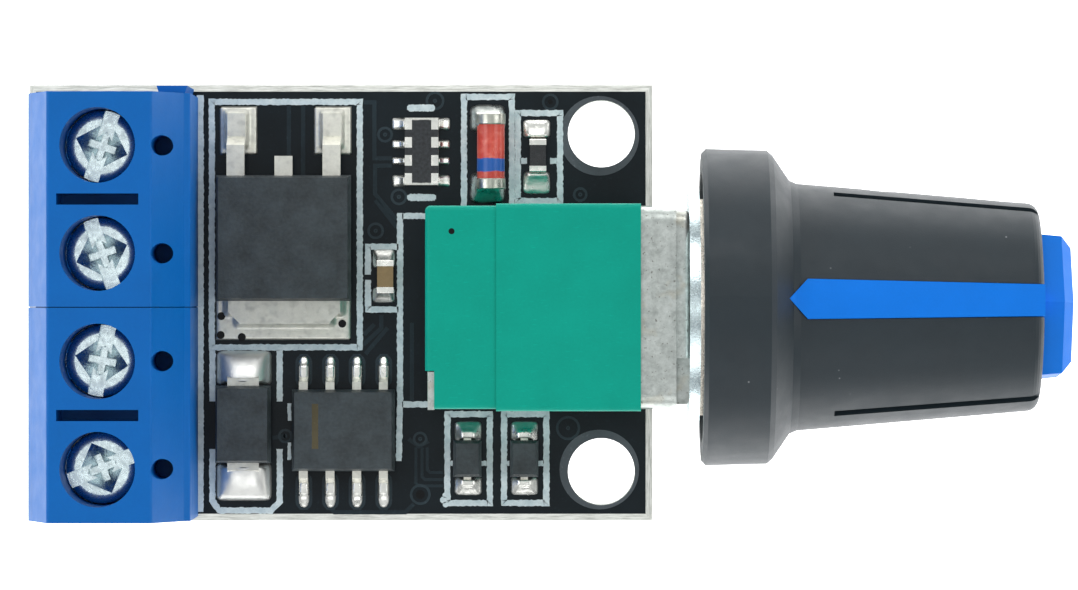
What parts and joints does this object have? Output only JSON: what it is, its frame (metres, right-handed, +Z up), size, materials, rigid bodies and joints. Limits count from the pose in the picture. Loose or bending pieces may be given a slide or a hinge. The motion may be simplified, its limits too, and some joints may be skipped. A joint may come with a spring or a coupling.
{
  "type": "motor speed control board",
  "caption": "Small black circuit board with blue screw terminals, a few surface-mounted parts and a green switched potentiometer turned by a black knob with a blue pointer.",
  "frame": {"origin": "midway between the two mounting holes, on the board's underside", "axes": "+X along the knob's shaft away from the board, +Y along the line of the mounting holes, +Z up through the component side"},
  "size_m": [0.049, 0.0208, 0.017],
  "materials": {
    "solder_mask_black": "satin solder mask over glass fibre",
    "blue_polyamide": "moulded, semi-gloss",
    "zinc_plated_steel": "bright zinc plating",
    "tinned_brass": "tin plated",
    "mould_compound": "matt moulded epoxy",
    "tin_lead_frame": "matt tin",
    "solder": "bright solder",
    "resistor_coat": "glazed overcoat on ceramic",
    "red_glass": "red tinted glass with one blue band",
    "capacitor_ceramic": "fired, satin",
    "green_thermoplastic": "moulded, satin",
    "galvanised_steel": "spangled zinc",
    "nickel_plated_brass": "nickel plated",
    "shaft_aluminium": "turned",
    "phenolic_board": "punched phenolic laminate",
    "white_thermoplastic": "moulded",
    "soft_touch_black": "soft-touch satin",
    "knob_blue": "moulded, satin"
  },
  "bodies": {
    "board": {"pcb": "solder_mask_black", "terminal_housing_a": "blue_polyamide", "terminal_housing_b": "blue_polyamide", "terminal_contacts_a": "tinned_brass", "terminal_contacts_b": "tinned_brass", "mosfet_body": "mould_compound", "mosfet_leads": "tin_lead_frame", "rectifier_body": "mould_compound", "rectifier_leads": "tin_lead_frame", "timer_chip_body": "mould_compound", "timer_chip_leads": "tin_lead_frame", "resistor_array_body": "resistor_coat", "resistor_array_terminals": "solder", "glass_diode_body": "red_glass", "glass_diode_caps": "tin_lead_frame", "chip_resistor_body": "resistor_coat", "chip_resistor_terminals": "solder", "chip_capacitor_body": "capacitor_ceramic", "chip_capacitor_terminals": "solder", "signal_diode_bodies": "mould_compound", "signal_diode_leads": "tin_lead_frame", "pot_front_frame": "galvanised_steel", "pot_bushing": "nickel_plated_brass", "pot_housing": "green_thermoplastic", "switch_housing": "green_thermoplastic", "pot_track_board": "phenolic_board", "pot_terminals": "tinned_brass", "switch_terminals": "tinned_brass", "switch_contact_spring": "nickel_plated_brass", "mounting_washer": "zinc_plated_steel", "mounting_nut": "nickel_plated_brass", "solder_joints": "solder"},
    "knob": {"pot_shaft": "shaft_aluminium", "pot_rotor": "white_thermoplastic", "pot_wiper": "nickel_plated_brass", "shaft_retaining_ring": "zinc_plated_steel", "switch_cam": "white_thermoplastic", "knob_shell": "soft_touch_black", "knob_insert": "knob_blue"},
    "screw_1": {"terminal_screw_1": "zinc_plated_steel"},
    "clamp_1": {"wire_clamp_1": "zinc_plated_steel"},
    "screw_2": {"terminal_screw_2": "zinc_plated_steel"},
    "clamp_2": {"wire_clamp_2": "zinc_plated_steel"},
    "screw_3": {"terminal_screw_3": "zinc_plated_steel"},
    "clamp_3": {"wire_clamp_3": "zinc_plated_steel"},
    "screw_4": {"terminal_screw_4": "zinc_plated_steel"},
    "clamp_4": {"wire_clamp_4": "zinc_plated_steel"}
  },
  "joints": [
    {"name": "knob_turn", "type": "hinge", "parent": "board", "child": "knob", "pos_m": [0.00396, -0.0002, 0.0081], "axis": [1, 0, 0], "range_deg": [-150, 150]},
    {"name": "screw_turn_1", "type": "hinge", "parent": "board", "child": "screw_1", "pos_m": [-0.02338, 0.0073, 0.0075], "axis": [0, 0, 1], "range_deg": [-1226, 0]},
    {"name": "clamp_lift_1", "type": "slide", "parent": "board", "child": "clamp_1", "axis": [0, 0, 1], "range_m": [0, 0.0017]},
    {"name": "screw_turn_2", "type": "hinge", "parent": "board", "child": "screw_2", "pos_m": [-0.02338, 0.0023, 0.0075], "axis": [0, 0, 1], "range_deg": [-1226, 0]},
    {"name": "clamp_lift_2", "type": "slide", "parent": "board", "child": "clamp_2", "axis": [0, 0, 1], "range_m": [0, 0.0017]},
    {"name": "screw_turn_3", "type": "hinge", "parent": "board", "child": "screw_3", "pos_m": [-0.02338, -0.0027, 0.0075], "axis": [0, 0, 1], "range_deg": [-1226, 0]},
    {"name": "clamp_lift_3", "type": "slide", "parent": "board", "child": "clamp_3", "axis": [0, 0, 1], "range_m": [0, 0.0017]},
    {"name": "screw_turn_4", "type": "hinge", "parent": "board", "child": "screw_4", "pos_m": [-0.02338, -0.0077, 0.0075], "axis": [0, 0, 1], "range_deg": [-1226, 0]},
    {"name": "clamp_lift_4", "type": "slide", "parent": "board", "child": "clamp_4", "axis": [0, 0, 1], "range_m": [0, 0.0017]}
  ],
  "couplings": [
    {"joint": "screw_turn_1", "follows": "clamp_lift_1", "rad_per_m": -12566},
    {"joint": "screw_turn_2", "follows": "clamp_lift_2", "rad_per_m": -12566},
    {"joint": "screw_turn_3", "follows": "clamp_lift_3", "rad_per_m": -12566},
    {"joint": "screw_turn_4", "follows": "clamp_lift_4", "rad_per_m": -12566}
  ]
}
